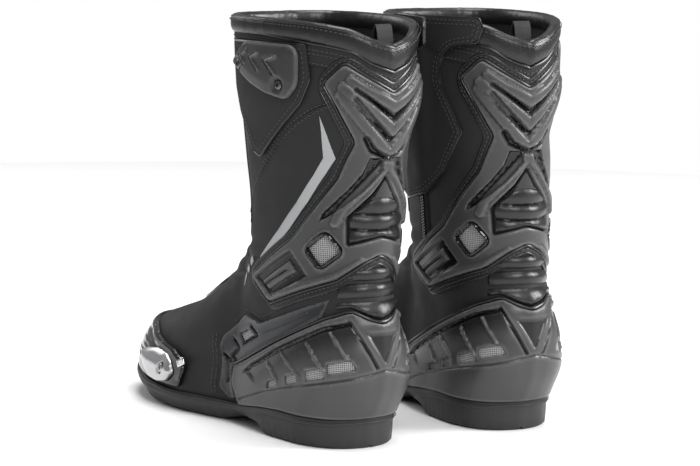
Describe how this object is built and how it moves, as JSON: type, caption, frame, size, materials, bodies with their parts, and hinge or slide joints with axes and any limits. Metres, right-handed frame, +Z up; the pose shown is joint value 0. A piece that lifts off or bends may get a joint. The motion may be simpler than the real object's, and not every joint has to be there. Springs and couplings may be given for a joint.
{
  "type": "motorcycle racing boots",
  "caption": "Pair of black leather motorcycle racing boots with moulded grey heel counters and calf frames, padded ankle rolls, toe sliders, side guards and zips under flaps",
  "frame": {"origin": "centre of the bounding box's base, on the floor midway between the two boots", "axes": "+Z up, the toes point along +Y, +X towards the right boot"},
  "size_m": [0.2798, 0.316, 0.3157],
  "materials": {
    "leather": "matte black microfibre",
    "glossy_leather": "glossy black padded synthetic leather",
    "moulded_grey": "satin dark grey moulded polyurethane",
    "rubber": "matte black rubber",
    "gloss_black": "glossy black moulded polyurethane",
    "mesh": "light grey woven mesh",
    "textile": "black knitted textile",
    "reflective": "silver-grey reflective film",
    "satin_metal": "satin aluminium",
    "black_steel": "blackened steel",
    "nylon_board": "black nylon board"
  },
  "bodies": {
    "left_foot": {"left_foot_upper": "leather", "left_outsole": "rubber", "left_insole_board": "nylon_board", "left_footbed": "textile", "left_heel_counter": "moulded_grey", "left_heel_vent_mesh": "mesh", "left_ankle_panel": "rubber", "left_achilles_bellows": "glossy_leather", "left_toe_cap": "gloss_black", "left_toe_slider": "satin_metal", "left_toe_slider_screw": "black_steel", "left_vamp_vent": "gloss_black", "left_ankle_gusset": "leather"},
    "left_shaft": {"left_shaft_upper": "leather", "left_shaft_lining": "textile", "left_collar": "glossy_leather", "left_calf_vent_mesh": "mesh", "left_calf_frame": "moulded_grey", "left_calf_rolls": "glossy_leather", "left_guard_strap": "leather", "left_guard_plate": "moulded_grey", "left_guard_screw_front": "black_steel", "left_guard_screw_rear": "black_steel", "left_shin_plate": "gloss_black", "left_side_stripe": "reflective", "left_pull_loop": "leather", "left_zip_tape": "textile"},
    "left_flap": {"left_closure_flap": "leather"},
    "left_zip_slider": {"left_zip_slider": "black_steel"},
    "left_zip_puller": {"left_zip_puller": "rubber"},
    "right_foot": {"right_foot_upper": "leather", "right_outsole": "rubber", "right_insole_board": "nylon_board", "right_footbed": "textile", "right_heel_counter": "moulded_grey", "right_heel_vent_mesh": "mesh", "right_ankle_panel": "rubber", "right_achilles_bellows": "glossy_leather", "right_toe_cap": "gloss_black", "right_toe_slider": "satin_metal", "right_toe_slider_screw": "black_steel", "right_vamp_vent": "gloss_black", "right_ankle_gusset": "leather"},
    "right_shaft": {"right_shaft_upper": "leather", "right_shaft_lining": "textile", "right_collar": "glossy_leather", "right_calf_vent_mesh": "mesh", "right_calf_frame": "moulded_grey", "right_calf_rolls": "glossy_leather", "right_guard_strap": "leather", "right_guard_plate": "moulded_grey", "right_guard_screw_front": "black_steel", "right_guard_screw_rear": "black_steel", "right_shin_plate": "gloss_black", "right_side_stripe": "reflective", "right_pull_loop": "leather", "right_zip_tape": "textile"},
    "right_flap": {"right_closure_flap": "leather"},
    "right_zip_slider": {"right_zip_slider": "black_steel"},
    "right_zip_puller": {"right_zip_puller": "rubber"}
  },
  "joints": [
    {"name": "left_ankle_flex", "type": "hinge", "parent": "left_foot", "child": "left_shaft", "pos_m": [-0.07219, -0.08454, 0.1], "axis": [-0.9976, -0.0698, 0], "range_deg": [-10, 18], "stiffness_Nm_per_rad": 15, "deforming": ["left_ankle_gusset", "left_achilles_bellows"]},
    {"name": "left_flap_opens", "type": "hinge", "parent": "left_shaft", "child": "left_flap", "pos_m": [-0.04181, -0.00947, 0.17931], "axis": [0.2587, -0.079, 0.9627], "range_deg": [0, 120], "deforming": ["left_closure_flap"]},
    {"name": "left_zip", "type": "slide", "parent": "left_shaft", "child": "left_zip_slider", "axis": [-0.1264, 0.0992, -0.987], "range_m": [0, 0.13], "deforming": ["left_zip_tape"]},
    {"name": "left_zip_puller_swings", "type": "hinge", "parent": "left_zip_slider", "child": "left_zip_puller", "pos_m": [-0.00816, -0.07463, 0.27367], "axis": [-0.0668, -0.9936, -0.0913], "range_deg": [0, 170], "deforming": ["left_zip_puller"]},
    {"name": "right_ankle_flex", "type": "hinge", "parent": "right_foot", "child": "right_shaft", "pos_m": [0.07219, -0.08454, 0.1], "axis": [-0.9976, 0.0698, 0], "range_deg": [-10, 18], "stiffness_Nm_per_rad": 15, "deforming": ["right_ankle_gusset", "right_achilles_bellows"]},
    {"name": "right_flap_opens", "type": "hinge", "parent": "right_shaft", "child": "right_flap", "pos_m": [0.04181, -0.00947, 0.17931], "axis": [0.2587, 0.079, -0.9627], "range_deg": [0, 120], "deforming": ["right_closure_flap"]},
    {"name": "right_zip", "type": "slide", "parent": "right_shaft", "child": "right_zip_slider", "axis": [0.1264, 0.0992, -0.987], "range_m": [0, 0.13], "deforming": ["right_zip_tape"]},
    {"name": "right_zip_puller_swings", "type": "hinge", "parent": "right_zip_slider", "child": "right_zip_puller", "pos_m": [0.00816, -0.07463, 0.27367], "axis": [-0.0668, 0.9936, 0.0913], "range_deg": [0, 170], "deforming": ["right_zip_puller"]},
    {"name": "boots_apart", "type": "slide", "parent": "left_foot", "child": "right_foot", "axis": [1, 0, 0], "range_m": [0, 0.3]}
  ]
}
